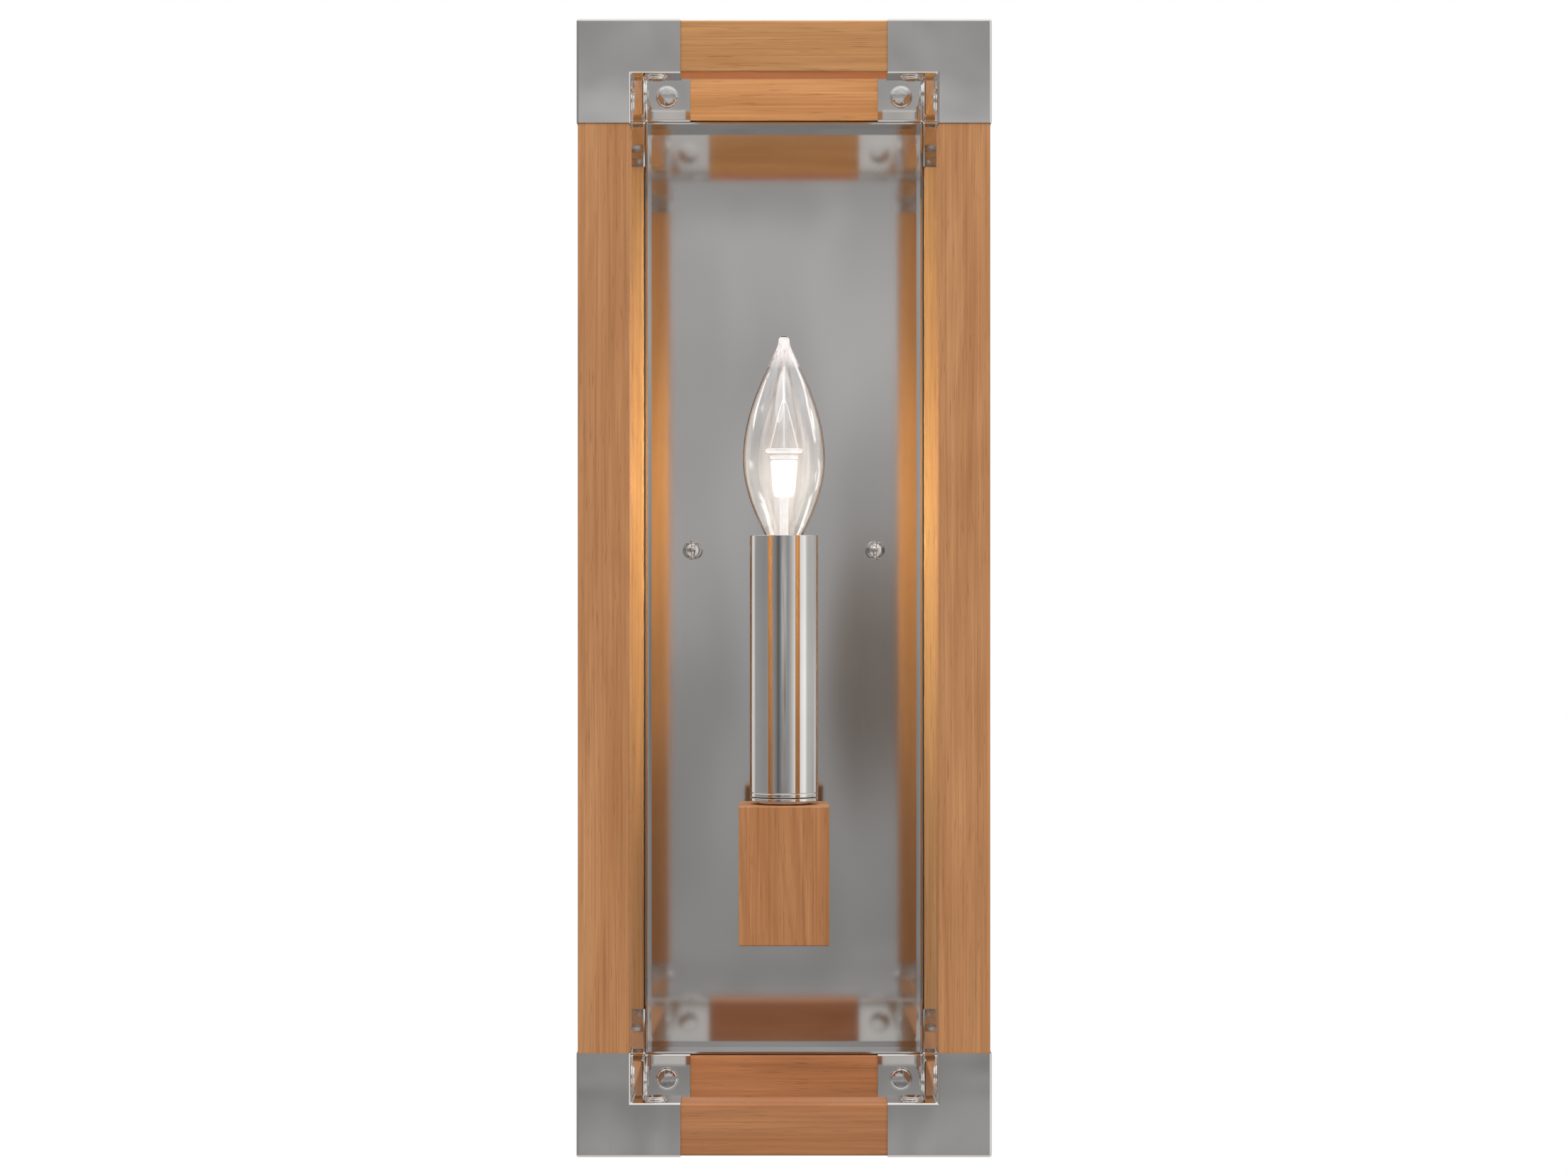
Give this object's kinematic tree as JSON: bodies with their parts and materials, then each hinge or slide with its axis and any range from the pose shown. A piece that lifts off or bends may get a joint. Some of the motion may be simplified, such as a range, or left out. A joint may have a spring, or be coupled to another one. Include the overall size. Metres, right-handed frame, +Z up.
{
  "type": "wall sconce",
  "caption": "Upright wall sconce: an open square-bar wood cage with metal corner brackets, a satin metal back pan and a flame-shaped lamp on a polished candle sleeve over a wood block.",
  "frame": {"origin": "centre of the wall strap's rear face, in the wall plane, level with the two cap nuts", "axes": "+Z up along the posts, +Y into the wall, -Y to the front, +X to the right as seen from the front"},
  "size_m": [0.152, 0.1585, 0.4168],
  "materials": {
    "wood": "satin lacquered, honey brown, straight grain along each bar",
    "polished_nickel": "polished nickel plate",
    "satin_nickel": "satin, blurred reflections",
    "zinc_steel": "zinc-plated steel",
    "socket_plastic": "off-white moulded phenolic",
    "lamp_cap": "nickel-plated brass screw cap",
    "lamp_glass": "clear blown glass",
    "lamp_light": "lit warm white burner on a clear glass stem"
  },
  "bodies": {
    "root": {"front_left_post": "wood", "front_right_post": "wood", "rear_left_post": "wood", "rear_right_post": "wood", "front_bottom_rail": "wood", "front_top_rail": "wood", "rear_bottom_rail": "wood", "rear_top_rail": "wood", "left_bottom_rail": "wood", "left_top_rail": "wood", "right_bottom_rail": "wood", "right_top_rail": "wood", "candle_block": "wood", "front_bottom_left_bracket": "polished_nickel", "front_bottom_right_bracket": "polished_nickel", "front_top_left_bracket": "polished_nickel", "front_top_right_bracket": "polished_nickel", "rear_bottom_left_bracket": "polished_nickel", "rear_bottom_right_bracket": "polished_nickel", "rear_top_left_bracket": "polished_nickel", "rear_top_right_bracket": "polished_nickel", "front_bottom_left_across_screw": "polished_nickel", "front_bottom_left_upright_screw": "polished_nickel", "front_bottom_left_depth_screw": "polished_nickel", "front_bottom_right_across_screw": "polished_nickel", "front_bottom_right_upright_screw": "polished_nickel", "front_bottom_right_depth_screw": "polished_nickel", "front_top_left_across_screw": "polished_nickel", "front_top_left_upright_screw": "polished_nickel", "front_top_left_depth_screw": "polished_nickel", "front_top_right_across_screw": "polished_nickel", "front_top_right_upright_screw": "polished_nickel", "front_top_right_depth_screw": "polished_nickel", "rear_bottom_left_across_screw": "polished_nickel", "rear_bottom_left_upright_screw": "polished_nickel", "rear_bottom_left_depth_screw": "polished_nickel", "rear_bottom_right_across_screw": "polished_nickel", "rear_bottom_right_upright_screw": "polished_nickel", "rear_bottom_right_depth_screw": "polished_nickel", "rear_top_left_across_screw": "polished_nickel", "rear_top_left_upright_screw": "polished_nickel", "rear_top_left_depth_screw": "polished_nickel", "rear_top_right_across_screw": "polished_nickel", "rear_top_right_upright_screw": "polished_nickel", "rear_top_right_depth_screw": "polished_nickel", "candle_arm": "polished_nickel", "sleeve_seat": "polished_nickel", "back_pan": "satin_nickel", "wall_strap": "zinc_steel", "left_stud": "zinc_steel", "right_stud": "zinc_steel", "arm_nut": "zinc_steel", "socket_nipple": "zinc_steel", "lamp_socket": "socket_plastic"},
    "candle_sleeve": {"candle_sleeve": "polished_nickel"},
    "lamp": {"lamp_base": "lamp_cap", "lamp_glass": "lamp_glass", "lamp_stem": "lamp_light"},
    "left_cap_nut": {"left_cap_nut": "polished_nickel"},
    "right_cap_nut": {"right_cap_nut": "polished_nickel"}
  },
  "joints": [
    {"name": "sleeve_slide", "type": "slide", "parent": "root", "child": "candle_sleeve", "axis": [0, 0, 1], "range_m": [0, 0.01]},
    {"name": "lamp_turn", "type": "hinge", "parent": "root", "child": "lamp", "pos_m": [0, -0.07925, 0.03], "axis": [0, 0, 1], "continuous": true},
    {"name": "left_cap_nut_turn", "type": "hinge", "parent": "root", "child": "left_cap_nut", "pos_m": [-0.0373, -0.009, 0], "axis": [0, 1, 0], "continuous": true},
    {"name": "right_cap_nut_turn", "type": "hinge", "parent": "root", "child": "right_cap_nut", "pos_m": [0.0373, -0.009, 0], "axis": [0, 1, 0], "continuous": true}
  ]
}
